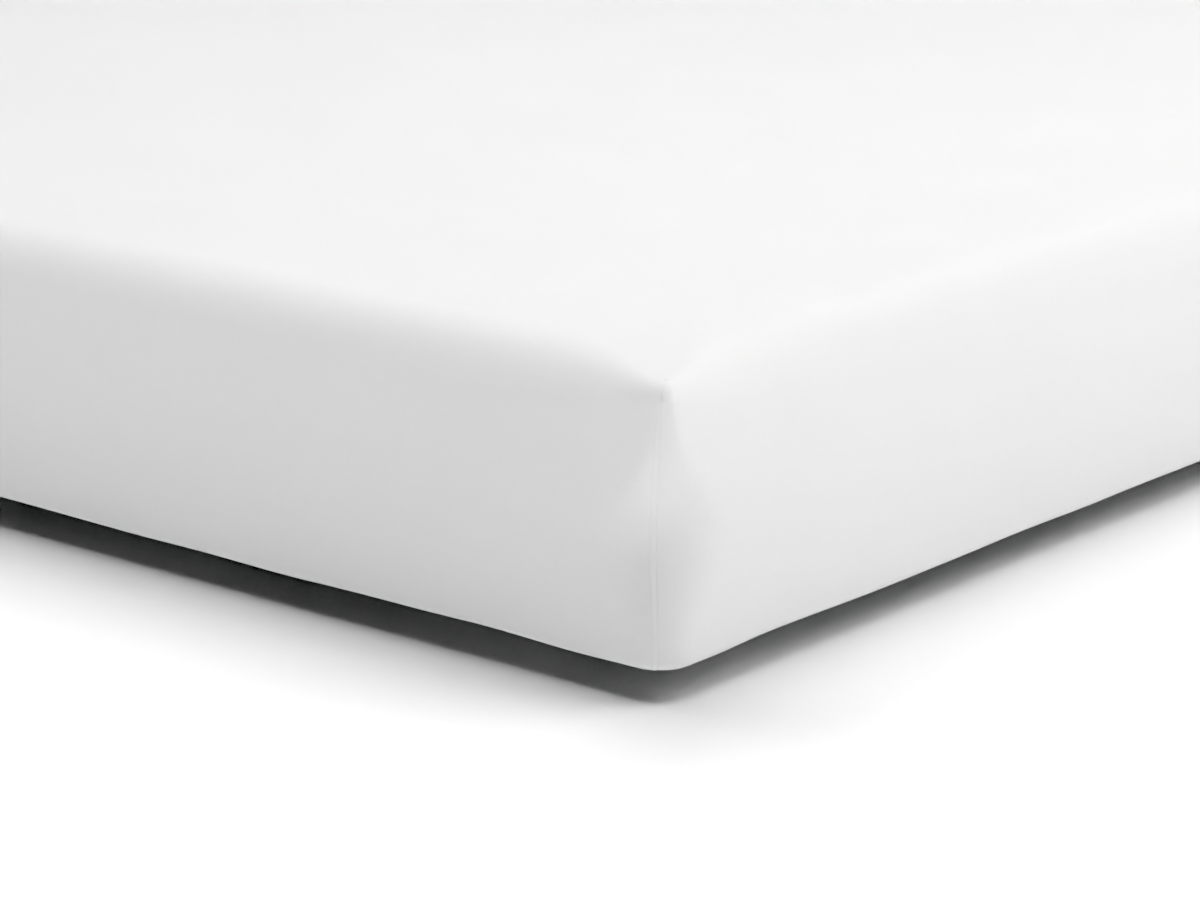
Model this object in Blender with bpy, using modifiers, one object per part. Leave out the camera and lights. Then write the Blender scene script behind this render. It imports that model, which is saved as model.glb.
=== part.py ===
"""A taut fitted sheet on a plain double mattress.

The sheet is one cut of cloth: a top panel, four skirts, and four upright corner seams. It is lofted from
rounded rectangles, from the rim of the top panel, round the top edge, down the walls, round the foot and
in under the mattress to the hem. The mattress is the same loft a little smaller, with rounder corners,
closed by a flat bottom. It bellies down under its own weight, so it stands on the middle of its underside
and its walls end clear of the floor. Metres, +Z up, with the origin on the floor under the middle.
"""

from collections import namedtuple

import bmesh
import bpy
import numpy as np

# Driving sizes.
WIDTH = 1.80  # across X, outside the cloth
LENGTH = 2.00  # along Y, outside the cloth
EDGE_HEIGHT = 0.228  # floor to the top panel at its rim
TOP_CROWN = 0.005  # rise of the top panel from its rim to its middle
CORNER_DROP = 0.009  # how far the corner seams draw the top panel down
CORNER_DROP_WITHIN = 0.060  # and how far from a corner that reaches
FOOT_LIFT = 0.0225  # floor to the lower edge of the walls
WALL_BULGE = 0.003  # swell of the walls at half height

# Cloth, and the room between it and the mattress.
CLOTH = 0.0015
FLAT_GAP = 0.0006
EDGE_ROUNDER = 0.0036  # extra edge radius of the mattress: the cloth clears its edges by 2 mm
CORNER_ROUNDER = 0.006  # the same for its upright corners
MATTRESS_CORNER = 0.030  # least radius of the mattress's upright corners

# The top edge is soft along the sides and tightens towards the corner seams.
EDGE_RADIUS = 0.048
EDGE_RADIUS_AT_SEAM = 0.012
EDGE_TIGHTENS_WITHIN = 0.065
FOOT_RADIUS = 0.007

# The underside slopes from the foot of the walls to the flat that stands on the floor.
BELLY_REACH = 0.190
HEM_REACH = 0.120
SLOPE_REACH = 0.155

# Columns of the loft: how far each lies from the nearest corner seam, up to the middle of a side.
COLUMNS = (0.0, 0.007, 0.018, 0.035, 0.060, 0.100, 0.170, 0.290, 0.470, 0.680)

# Rows of the loft. edge_turn and foot_turn are degrees round the top edge and the foot, wall is the share of
# the wall's height below the top edge, under is how far in beneath, corner is the plan radius at the seams.
Section = namedtuple("Section", "edge_turn wall foot_turn under corner")
SECTIONS = (
    Section(0, 0.00, 0, 0.0, 0.014),
    Section(30, 0.00, 0, 0.0, 0.014),
    Section(60, 0.00, 0, 0.0, 0.014),
    Section(90, 0.00, 0, 0.0, 0.015),
    Section(90, 0.16, 0, 0.0, 0.022),
    Section(90, 0.36, 0, 0.0, 0.048),
    Section(90, 0.58, 0, 0.0, 0.066),
    Section(90, 0.80, 0, 0.0, 0.052),
    Section(90, 1.00, 0, 0.0, 0.032),
    Section(90, 1.00, 45, 0.0, 0.030),
    Section(90, 1.00, 90, 0.0, 0.028),
    Section(90, 1.00, 90, 0.040, 0.038),
    Section(90, 1.00, 90, 0.080, 0.052),
    Section(90, 1.00, 90, HEM_REACH, 0.070),
)
MATTRESS_SECTIONS = SECTIONS + (
    Section(90, 1.00, 90, SLOPE_REACH, 0.080),
    Section(90, 1.00, 90, BELLY_REACH, 0.090),
)

# Soft unevenness of the taut top panel: a line in plan, half its width, and how far it rises or sinks.
Fold = namedtuple("Fold", "from_x from_y to_x to_y half_width rise")
FOLDS = (
    Fold(0.42, -0.86, -0.45, 0.02, 0.090, -0.0030),
    Fold(0.30, -0.90, -0.50, -0.16, 0.090, 0.0015),
    Fold(-0.20, 0.85, 0.35, 0.45, 0.120, -0.0020),
)


def ease(share):
    """A smooth step from 0 to 1 as the share goes from 0 to 1."""
    share = np.clip(share, 0.0, 1.0)
    return share * share * (3.0 - 2.0 * share)


def columns_to(middle):
    """Seam distances along a whole side: in from one corner to the middle, and out to the other."""
    inward = np.array(COLUMNS + (middle,))
    return np.concatenate([inward, inward[-2::-1]])


def side(half_side, radius, columns):
    """One side of a rounded rectangle, from seam to seam.

    Gives the points as (along, in), the outward normals in the same terms, and the seam distances. The seams
    stand at the middle of the corner arcs.
    """
    half_arc = radius * np.pi / 4
    distance = columns * (half_side - radius + half_arc) / columns.max()
    turn = np.pi / 4 - np.minimum(distance / radius, np.pi / 4)
    along = radius - radius * np.sin(turn) + np.maximum(distance - half_arc, 0.0)
    inward = radius - radius * np.cos(turn)
    far = np.arange(len(columns)) > len(columns) // 2
    along = np.where(far, 2 * half_side - along, along)
    normal_along = np.where(far, np.sin(turn), -np.sin(turn))
    return along, inward, normal_along, -np.cos(turn), distance


def outline(half_x, half_y, radius):
    """A rounded rectangle, anticlockwise from the -X -Y seam: points, outward normals, seam distances."""
    points, normals, distances = [], [], []
    for quarter in range(4):
        half_side, half_deep = (half_x, half_y) if quarter % 2 == 0 else (half_y, half_x)
        along, inward, out_along, out_in, distance = side(half_side, radius, columns_to(half_side))
        turn = quarter * np.pi / 2
        forward = np.array([np.cos(turn), np.sin(turn)])
        left = np.array([-np.sin(turn), np.cos(turn)])
        rows = np.outer(along - half_side, forward) + np.outer(inward - half_deep, left)
        points.append(rows[:-1])
        normals.append((np.outer(out_along, forward) + np.outer(out_in, left))[:-1])
        distances.append(distance[:-1])
    return np.concatenate(points), np.concatenate(normals), np.concatenate(distances)


def top_height(points):
    """Height of the top panel over plan points, crowned, drawn down at its corners and a little uneven."""
    x = points[..., 0]
    y = points[..., 1]
    flat_x = 1.0 - np.abs(2 * x / WIDTH) ** 3
    flat_y = 1.0 - np.abs(2 * y / LENGTH) ** 3
    height = EDGE_HEIGHT + TOP_CROWN * np.clip(flat_x, 0, 1) * np.clip(flat_y, 0, 1)
    to_corner = np.hypot(WIDTH / 2 - np.abs(x), LENGTH / 2 - np.abs(y))
    height = height - CORNER_DROP * np.exp(-((to_corner / CORNER_DROP_WITHIN) ** 2))
    for fold in FOLDS:
        run = np.array([fold.to_x - fold.from_x, fold.to_y - fold.from_y])
        reach = np.hypot(*run)
        share = ((x - fold.from_x) * run[0] + (y - fold.from_y) * run[1]) / reach**2
        across = ((x - fold.from_x) * run[1] - (y - fold.from_y) * run[0]) / reach
        ends = ease(share / 0.25) * ease((1.0 - share) / 0.25)
        height = height + fold.rise * ends * np.exp(-((across / fold.half_width) ** 2))
    return height


def section_points(row, shrink, edge_rounder, corner_rounder, least_corner):
    """One ring of the loft. shrink moves it in by that much all round, and the rest make it rounder."""
    corner = max(row.corner - shrink + corner_rounder, least_corner)
    inset = shrink + row.under
    flat, normals, distance = outline(WIDTH / 2 - inset, LENGTH / 2 - inset, corner)
    near_seam = np.exp(-((distance / EDGE_TIGHTENS_WITHIN) ** 2))
    edge = EDGE_RADIUS + (EDGE_RADIUS_AT_SEAM - EDGE_RADIUS) * near_seam - shrink + edge_rounder
    edge_turn = np.radians(row.edge_turn)
    foot_turn = np.radians(row.foot_turn)
    foot = max(FOOT_RADIUS - shrink + edge_rounder, 0.002)
    bulge = WALL_BULGE * np.sin(np.pi * row.wall) * (1.0 - near_seam)
    inward = edge * (1 - np.sin(edge_turn)) + foot * (1 - np.cos(foot_turn)) - bulge
    plan = flat - normals * inward[:, None]
    rim = top_height(plan) - shrink
    wall_top = rim - edge * (1 - np.cos(edge_turn))
    foot_level = FOOT_LIFT + shrink
    height = wall_top + (foot_level + foot - wall_top) * row.wall
    if row.foot_turn > 0:
        slope = FOOT_LIFT * (1 - ease(row.under / BELLY_REACH))
        clear = shrink * (1 - ease((row.under - HEM_REACH) / (BELLY_REACH - HEM_REACH)))
        height = np.full(len(plan), slope + clear + foot * (1 - np.sin(foot_turn)))
    return np.column_stack([plan, height])


def top_grid(rim):
    """The top panel inside its rim, as a grid of plan points blended from the four sides."""
    count = 2 * len(COLUMNS)
    ring = np.concatenate([rim, rim[:1]])
    south = ring[0 : count + 1]
    east = ring[count : 2 * count + 1]
    north = ring[2 * count : 3 * count + 1][::-1]
    west = ring[3 * count : 4 * count + 1][::-1]
    u = ((south[:, 0] - south[0, 0]) / (south[-1, 0] - south[0, 0]))[:, None, None]
    v = ((west[:, 1] - west[0, 1]) / (west[-1, 1] - west[0, 1]))[None, :, None]
    grid = (1 - v) * south[:, None] + v * north[:, None] + (1 - u) * west[None] + u * east[None]
    grid -= (1 - u) * (1 - v) * south[0] + u * (1 - v) * south[-1]
    grid -= (1 - u) * v * north[0] + u * v * north[-1]
    return grid


def loft(name, sections, shrink, edge_rounder, corner_rounder, least_corner):
    """An object made of the top panel and the rings that follow it, open after the last ring."""
    rings = [section_points(row, shrink, edge_rounder, corner_rounder, least_corner) for row in sections]
    grid = top_grid(rings[0])
    grid[..., 2] = top_height(grid[..., :2]) - shrink
    grid_mesh = bmesh.new()
    verts = [[grid_mesh.verts.new(point) for point in column] for column in grid]
    last = len(verts) - 1
    for i in range(last):
        for j in range(last):
            corners = verts[i][j], verts[i + 1][j], verts[i + 1][j + 1], verts[i][j + 1]
            grid_mesh.faces.new(corners)
    south = [verts[i][0] for i in range(last)]
    east = [verts[last][j] for j in range(last)]
    north = [verts[last - i][last] for i in range(last)]
    west = [verts[0][last - j] for j in range(last)]
    above = south + east + north + west
    for ring in rings[1:]:
        below = [grid_mesh.verts.new(point) for point in ring]
        for k in range(len(ring)):
            after = (k + 1) % len(ring)
            grid_mesh.faces.new((above[k], below[k], below[after], above[after]))
        above = below
    mesh = bpy.data.meshes.new(name)
    grid_mesh.to_mesh(mesh)
    grid_mesh.free()
    mesh.shade_smooth()
    return bpy.data.objects.new(name, mesh)


def material(name, color, roughness):
    made = bpy.data.materials.new(name)
    made.use_nodes = True
    shader = made.node_tree.nodes["Principled BSDF"]
    shader.inputs["Base Color"].default_value = (*color, 1.0)
    shader.inputs["Roughness"].default_value = roughness
    shader.inputs["Metallic"].default_value = 0.0
    return made


def fitted_sheet():
    """The cloth: an open loft from the top panel to the hem, given its thickness inwards."""
    sheet = loft("fitted_sheet", SECTIONS, 0.0, 0.0, 0.0, 0.0)
    wall = sheet.modifiers.new("cloth thickness", "SOLIDIFY")
    wall.thickness = CLOTH
    wall.offset = -1.0
    sheet.data.materials.append(material("white cotton", (0.88, 0.88, 0.88), 0.85))
    return sheet


def mattress():
    """The foam block: the same loft inside the cloth, closed by the flat that stands on the floor."""
    shrink = CLOTH + FLAT_GAP
    block = loft("mattress", MATTRESS_SECTIONS, shrink, EDGE_ROUNDER, CORNER_ROUNDER, MATTRESS_CORNER)
    shell = bmesh.new()
    shell.from_mesh(block.data)
    open_edges = [edge for edge in shell.edges if edge.is_boundary]
    bmesh.ops.contextual_create(shell, geom=open_edges)
    bmesh.ops.recalc_face_normals(shell, faces=shell.faces)
    shell.to_mesh(block.data)
    shell.free()
    block.data.materials.append(material("mattress ticking", (0.80, 0.79, 0.76), 0.90))
    return block


def main():
    for old in list(bpy.data.objects):
        bpy.data.objects.remove(old, do_unlink=True)
    parts = bpy.data.collections.new("fitted sheet on mattress")
    bpy.context.scene.collection.children.link(parts)
    parts.objects.link(fitted_sheet())
    parts.objects.link(mattress())


main()
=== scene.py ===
import math
from collections import namedtuple

import bmesh
import bpy
import numpy as np
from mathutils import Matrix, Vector


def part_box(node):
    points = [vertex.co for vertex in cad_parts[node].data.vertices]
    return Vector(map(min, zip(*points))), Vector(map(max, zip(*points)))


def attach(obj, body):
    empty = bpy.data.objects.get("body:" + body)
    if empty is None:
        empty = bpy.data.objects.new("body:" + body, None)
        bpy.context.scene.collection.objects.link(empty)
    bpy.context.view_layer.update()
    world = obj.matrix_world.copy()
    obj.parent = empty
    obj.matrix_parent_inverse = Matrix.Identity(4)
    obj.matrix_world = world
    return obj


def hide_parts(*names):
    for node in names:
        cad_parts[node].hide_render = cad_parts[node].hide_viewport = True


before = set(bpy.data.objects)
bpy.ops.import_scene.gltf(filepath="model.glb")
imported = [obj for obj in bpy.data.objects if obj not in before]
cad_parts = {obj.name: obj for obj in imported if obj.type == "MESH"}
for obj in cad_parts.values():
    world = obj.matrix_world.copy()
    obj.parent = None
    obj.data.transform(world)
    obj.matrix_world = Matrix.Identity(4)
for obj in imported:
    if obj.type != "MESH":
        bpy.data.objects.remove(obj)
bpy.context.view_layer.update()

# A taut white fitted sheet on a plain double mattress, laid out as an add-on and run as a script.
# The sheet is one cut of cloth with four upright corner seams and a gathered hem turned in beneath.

bl_info = {
    "name": "Fitted sheet on mattress",
    "version": (1, 0, 0),
    "blender": (4, 5, 0),
    "location": "View3D > Sidebar > Bedding",
    "description": "Builds the cloth, the stitching, the mattress and the studio of a fitted sheet",
    "category": "Object",
}

BODY = "root"
CLOTH_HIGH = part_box("fitted_sheet")[1]

CLOTH_WHITE = "#E7E7E7"
THREAD_WHITE = "#EAEAEA"
TICKING_GREY = "#C9C9C7"
FLOOR_WHITE = "#F9F9F9"

# The shape that the cloth is pulled into, in metres and measured outside the cloth.
WALL_BULGE = 0.003
HALF_WIDTH = CLOTH_HIGH.x - WALL_BULGE
HALF_LENGTH = CLOTH_HIGH.y - WALL_BULGE
TOP_CROWN = 0.005
EDGE_HEIGHT = CLOTH_HIGH.z - TOP_CROWN
CORNER_DROP = 0.009
CORNER_DROP_WITHIN = 0.060
FOOT_LIFT = 0.0225
EDGE_RADIUS = 0.048
EDGE_RADIUS_AT_SEAM = 0.012
EDGE_TIGHTENS_WITHIN = 0.065
FOOT_RADIUS = 0.007
BELLY_REACH = 0.190
HEM_REACH = 0.120
WALL_HEIGHT = EDGE_HEIGHT - EDGE_RADIUS - FOOT_LIFT - FOOT_RADIUS

# Plan radius at the corners: tight under the pocket at the top, wide half way down, tight at the foot.
CORNER_AT_TOP = 0.014
CORNER_BELOW_EDGE = 0.008
CORNER_AT_FOOT = 0.028
CORNER_AT_HEM = 0.070
CORNER_SWELL = 0.044

# The mattress stays this far inside the cloth's outer face, and is rounder at its edges and corners.
MATTRESS_ROOM = 0.0022
EDGE_ROUNDER = 0.0036
CORNER_ROUNDER = 0.006
MATTRESS_CORNER = 0.030

# Where something starts, by a distance, and how soon after that it is whole.
Fade = namedtuple("Fade", "start within")

# Each upright seam lies a little to one side of its corner, with a row of stitches beside it.
SEAM_AT = 0.0046
STITCHED_AT = 0.0091
STITCHED_FROM_SEAM = STITCHED_AT - SEAM_AT
SEAM_FADE = Fade(0.006, 0.010)
SEAM_DEPTH = 0.00035
SEAM_HALF_WIDTH = 0.0007
STITCHED_DEPTH_SHARE = 0.7
STITCHED_HALF_WIDTH = 0.0006

# The allowance turned beside a seam lifts the cloth over it.
ALLOWANCE = 0.0062
ALLOWANCE_RISE = 0.00018
ALLOWANCE_FADE = Fade(0.0004, 0.0018)
ALLOWANCE_ENDS_WITHIN = 0.0022

# Puckers drawn in by the sewing: two waves down the seam, the second longer, lower and out of step.
PUCKER_PITCH = 0.017
PUCKER_RISE = 0.00022
PUCKER_HALF_WIDTH = 0.011
SECOND_PUCKER_LONGER = 1.63
SECOND_PUCKER_SHARE = 0.6
SECOND_PUCKER_PHASE = 1.1

# The pinch under each corner of the top panel.
PINCH_DEPTH = 0.0013
PINCH_AT = 0.034
PINCH_ASIDE = 0.001
PINCH_HALF_WIDTH = 0.0065
PINCH_HALF_HEIGHT = 0.013

# The top panel's columns run out of room where they meet a corner, so they are spread evenly there.
RELAX_STEPS = 16
RELAX_WITHIN = 0.017

# The stitching starts this many rows below the rim of the top panel.
SEAM_SEWN_FROM_ROW = 7

# How close a loft's columns and rows lie: the first columns beside a corner, how much further apart each
# next one lies and the most it may, and the rows of the wall, round the top edge and beneath.
Density = namedtuple("Density", "head growth coarsest wall_rows turn_steps under_steps")

# The cloth's first columns give the seam's groove, the allowance and the stitching each their own.
SEAM_COLUMNS = (
    *(0.0, 0.001, 0.002, 0.003, 0.0038, SEAM_AT, 0.0054),
    *(0.0064, 0.0076, 0.0084, STITCHED_AT, 0.0099, 0.0110),
)
CLOTH_DENSITY = Density(SEAM_COLUMNS, 1.15, 0.030, 36, 10, 10)
MATTRESS_DENSITY = Density((0.0, 0.004, 0.008), 1.25, 0.040, 12, 8, 12)

# The hem's casing: the cloth's edge folded round an elastic and gathered by it.
CASING_SIDES = 12
CASING_SEWN_SIDE = 11
CASING_STEP = 0.0035
CASING_HALF = 0.007
CASING_THICK = 0.0034
CASING_PAST_HEM = 0.4
CASING_SINKS = 0.0009
CASING_ROUND = 0.03
CASING_EDGE_POWER = 0.5
CASING_FACE_POWER = 0.6
GATHER_PITCH = 0.011
GATHER_RISE = 0.0007
GATHER_WIDENS = 0.06
SECOND_GATHER_SHARE = 0.5
SECOND_GATHER_SHORTER = 1.37
SECOND_GATHER_PHASE = 0.8

# Soft unevenness of the top panel: a line in plan, half its width, and how far it rises.
Fold = namedtuple("Fold", "from_x from_y to_x to_y half_width rise")
FOLDS = (
    Fold(0.42, -0.86, -0.45, 0.02, 0.045, -0.0022),
    Fold(0.30, -0.90, -0.50, -0.16, 0.050, 0.0012),
    Fold(-0.20, 0.85, 0.35, 0.45, 0.060, -0.0020),
)
FOLD_END_SHARE = 0.3

# Soft upright waves of the walls: which wall, how far from its first seam, half the width, and the swell.
Wave = namedtuple("Wave", "wall along half_width swell")
WAVES = (
    Wave(1, 0.095, 0.045, -0.0008),
    Wave(1, 0.40, 0.060, -0.0010),
    Wave(1, 0.62, 0.090, 0.0008),
    Wave(1, 1.10, 0.080, -0.0010),
    Wave(1, 1.55, 0.070, -0.0008),
    Wave(0, 1.15, 0.080, -0.0007),
    Wave(0, 0.55, 0.090, 0.0008),
    Wave(2, 0.60, 0.080, -0.0010),
    Wave(2, 1.20, 0.070, 0.0008),
    Wave(3, 0.50, 0.080, -0.0010),
    Wave(3, 1.35, 0.090, 0.0008),
)
WAVES_FADE = Fade(0.04, 0.06)

# Faint ripples of pulled cloth over the whole sheet: how many metres long, which way in plan, and how high.
Ripple = namedtuple("Ripple", "length turn phase rise")
RIPPLES = (
    Ripple(0.310, 20, 0.4, 0.00030),
    Ripple(0.225, 115, 1.9, 0.00022),
    Ripple(0.171, 68, 3.1, 0.00016),
    Ripple(0.127, 158, 5.0, 0.00010),
    Ripple(0.093, 40, 2.2, 0.00006),
)

# The top panel's ripples hand over to the walls' own within this, and those are shorter down than along.
RIPPLES_BLEND_WITHIN = 0.08
WALL_RIPPLES_SHORTER = 3.0

# How the foot of the walls wanders up and down, by its length round the sheet.
FOOT_WANDER = (
    Ripple(0.430, 0, 0.8, 0.0004),
    Ripple(0.260, 0, 2.9, 0.0003),
    Ripple(0.150, 0, 4.4, 0.0002),
)
WANDER_AT_SEAM = Fade(0.0, 0.10)
WANDER_FADE = Fade(0.15, 0.06)
WANDER_END = Fade(0.25, 0.08)

# Gathers that the elastic draws into the underside.
UNDERSIDE_GATHER_PITCH = 0.105
UNDERSIDE_GATHER_RISE = 0.0010
UNDERSIDE_GATHER_FADE = Fade(0.26, 0.09)

# Pattern scales: real distances in metres, or how many to a metre.
SLUBS_PER_METRE = 420.0
SLUB_STRETCH = 0.05
CLOUDS_PER_METRE = 2.2
PLY_PITCH = 0.0006
RIB_PITCH = 0.0024
COURSE_PITCH = 0.0016
NAP_PER_METRE = 900.0
STIPPLE_PER_METRE = 160.0

# A wave texture of this scale has its bands a metre apart.
BAND_SCALE = math.pi / 10

# Stitches: how much of the pitch each fills, how far it may lie askew in radians, and the seed of that.
STITCH_SHARE = 0.8
STITCH_ASKEW = 0.07
STITCH_SEED = 11

# The camera: compass turn and height angle of the view, distance from and aim beside the near lower corner.
CAMERA_TURN = 39.62
CAMERA_HEIGHT_ANGLE = 15.61
CAMERA_DISTANCE = 2.5
CAMERA_AIM = (-0.0585, 0.0029, 0.1446)
CAMERA_LENS = 114.6

# The studio: a wide floor with a painted glow, a glow along the foot of its walls, how white the lens sees
# those walls, and the finished picture's black point.
FLOOR_SIZE = 80.0
HORIZON_GLOW = 5.5
GLOW_HEIGHT = 0.08
WALLS_AS_SEEN = 1.1
BLACK_POINT = 0.10

# How the floor's painted glow rises away from the mattress: from and to how far out, and by how much.
Glow = namedtuple("Glow", "start full strength")
FLOOR_GLOWS = (Glow(0.01, 0.14, 0.09), Glow(0.35, 3.6, 1.0))

# Softboxes round the near lower corner: compass turn as in a view, height angle, distance, width and watts.
Lamp = namedtuple("Lamp", "name turn height distance width power")
LAMPS = (
    Lamp("softbox_overhead", 90, 88, 4.0, 2.7, 71.0),
    Lamp("softbox_far_left", 225, 45, 15.0, 12.0, 980.0),
    Lamp("softbox_left", 270, 50, 12.0, 6.0, 300.0),
    Lamp("softbox_far_right", 140, 47, 5.0, 3.6, 98.0),
)


# ---------------------------------------------------------------------------------------------------------
# Small helpers


def hex_color(code):
    """An sRGB hex colour as linear RGBA."""
    shares = [int(code[i : i + 2], 16) / 255 for i in (1, 3, 5)]
    linear = [s / 12.92 if s <= 0.04045 else ((s + 0.055) / 1.055) ** 2.4 for s in shares]
    return (*linear, 1.0)


def ease(share):
    """A smooth step from 0 to 1 as the share goes from 0 to 1."""
    share = np.clip(share, 0.0, 1.0)
    return share * share * (3.0 - 2.0 * share)


def fade(distance, over):
    """0 before the fade starts, and 1 when it is whole."""
    return ease((distance - over.start) / over.within)


def hump(offset, half_width):
    """A soft ridge: 1 at offset 0, and gone about two half-widths away."""
    return np.exp(-((offset / half_width) ** 2))


def graded(length, head, growth, coarsest):
    """Distances from 0 to length: the head's, then steps that grow from its last to the coarsest."""
    marks = list(head)
    step = marks[-1] - marks[-2]
    while marks[-1] + 1.5 * step < length:
        marks.append(marks[-1] + step)
        step = min(step * growth, coarsest)
    return np.array(marks + [length])


# ---------------------------------------------------------------------------------------------------------
# The loft that the cloth and the mattress share

# A row of the loft: degrees round the top edge, share of the wall, degrees round the foot, reach beneath,
# and plan radius at the corners.
Row = namedtuple("Row", "edge_turn wall foot_turn under corner")


def wall_corner(share):
    """Plan radius at the seams, by the share of the wall below the top edge."""
    swell = CORNER_SWELL * math.sin(math.pi * share**1.15) ** 2
    return CORNER_BELOW_EDGE + (CORNER_AT_FOOT - CORNER_BELOW_EDGE) * share + swell


def columns_and_rows(density, reach):
    """Columns of a short and a long side, and rows from the rim of the top panel to the reach beneath."""
    halves = (HALF_WIDTH, HALF_LENGTH)
    references = [graded(half, density.head, density.growth, density.coarsest) for half in halves]
    rows = []
    turn_steps = density.turn_steps
    for k in range(turn_steps + 1):
        corner = CORNER_AT_TOP + (CORNER_BELOW_EDGE - CORNER_AT_TOP) * ease(k / turn_steps)
        rows.append(Row(90 * k / turn_steps, 0, 0, 0, corner))
    for mark in np.linspace(0.0, 1.0, density.wall_rows)[1:]:
        rows.append(Row(90, mark, 0, 0, wall_corner(mark)))
    foot_steps = turn_steps // 2
    for k in range(1, foot_steps + 1):
        rows.append(Row(90, 1, 90 * k / foot_steps, 0, CORNER_AT_FOOT))
    for k in range(1, density.under_steps + 1):
        under = reach * k / density.under_steps
        corner = CORNER_AT_FOOT + (CORNER_AT_HEM - CORNER_AT_FOOT) * under / HEM_REACH
        rows.append(Row(90, 1, 90, under, corner))
    return references, rows


def side(half_side, radius, reference):
    """One side of a rounded rectangle, seam to seam: along, in, the outward normal, the seam distance."""
    half_arc = radius * math.pi / 4
    distance = reference * (half_side - radius + half_arc) / reference[-1]
    turn = math.pi / 4 - np.minimum(distance / radius, math.pi / 4)
    along = radius - radius * np.sin(turn) + np.maximum(distance - half_arc, 0.0)
    inward = radius - radius * np.cos(turn)
    back = slice(-2, None, -1)
    out_along = np.concatenate([-np.sin(turn), np.sin(turn)[back]])
    out_in = np.concatenate([-np.cos(turn), -np.cos(turn)[back]])
    along = np.concatenate([along, 2 * half_side - along[back]])
    inward = np.concatenate([inward, inward[back]])
    return along, inward, out_along, out_in, np.concatenate([distance, distance[back]])


def outline(inset, radius, references):
    """A rounded rectangle, anticlockwise from the -X -Y seam: points, outward normals, seam distances."""
    half = (HALF_WIDTH - inset, HALF_LENGTH - inset)
    points, normals, distances = [], [], []
    for quarter in range(4):
        here = half[quarter % 2]
        deep = half[1 - quarter % 2]
        along, inward, out_along, out_in, distance = side(here, radius, references[quarter % 2])
        turn = quarter * math.pi / 2
        forward = np.array([math.cos(turn), math.sin(turn)])
        left = np.array([-math.sin(turn), math.cos(turn)])
        points.append((np.outer(along - here, forward) + np.outer(inward - deep, left))[:-1])
        normals.append((np.outer(out_along, forward) + np.outer(out_in, left))[:-1])
        distances.append(distance[:-1])
    return np.concatenate(points), np.concatenate(normals), np.concatenate(distances)


def top_height(x, y):
    """Height of the top panel, crowned, drawn down at its corners, with its soft folds."""
    flat_x = np.clip(1.0 - np.abs(x / HALF_WIDTH) ** 3, 0, 1)
    flat_y = np.clip(1.0 - np.abs(y / HALF_LENGTH) ** 3, 0, 1)
    to_corner = np.hypot(HALF_WIDTH - np.abs(x), HALF_LENGTH - np.abs(y))
    drawn_down = CORNER_DROP * hump(to_corner, CORNER_DROP_WITHIN)
    height = EDGE_HEIGHT + TOP_CROWN * flat_x * flat_y - drawn_down
    for fold in FOLDS:
        run_x = fold.to_x - fold.from_x
        run_y = fold.to_y - fold.from_y
        reach = math.hypot(run_x, run_y)
        share = ((x - fold.from_x) * run_x + (y - fold.from_y) * run_y) / reach**2
        across = ((x - fold.from_x) * run_y - (y - fold.from_y) * run_x) / reach
        ends = ease(share / FOLD_END_SHARE) * ease((1.0 - share) / FOLD_END_SHARE)
        height = height + fold.rise * ends * hump(across, fold.half_width)
    return height


def ring(row, references, shrink, edge_rounder, corner_rounder, least_corner):
    """One row's points. shrink moves it in by that much all round, and the rest make it rounder."""
    corner = max(row.corner - shrink + corner_rounder, least_corner)
    flat, normals, distance = outline(shrink + row.under, corner, references)
    near_seam = hump(distance, EDGE_TIGHTENS_WITHIN)
    edge = EDGE_RADIUS + (EDGE_RADIUS_AT_SEAM - EDGE_RADIUS) * near_seam - shrink + edge_rounder
    foot = FOOT_RADIUS - shrink + edge_rounder
    edge_turn = math.radians(row.edge_turn)
    foot_turn = math.radians(row.foot_turn)
    bulge = WALL_BULGE * math.sin(math.pi * row.wall) * (1.0 - near_seam)
    inward = edge * (1 - math.sin(edge_turn)) + foot * (1 - math.cos(foot_turn)) - bulge
    plan = flat - normals * inward[:, None]
    wall_top = top_height(*plan.T) - shrink - edge * (1 - math.cos(edge_turn))
    foot_level = FOOT_LIFT + shrink
    height = wall_top + (foot_level + foot - wall_top) * row.wall
    if row.foot_turn > 0:
        slope = under_height(row.under)
        clear = shrink * (1 - ease((row.under - HEM_REACH) / (BELLY_REACH - HEM_REACH)))
        height = np.full(len(plan), slope + clear + foot * (1 - math.sin(foot_turn)))
    return np.column_stack([plan, height])


def under_height(reach):
    """Height of the sheet's underside by how far beneath it reaches."""
    return FOOT_LIFT * (1 - ease(reach / BELLY_REACH))


Shell = namedtuple("Shell", "points top walls along down")


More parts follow.
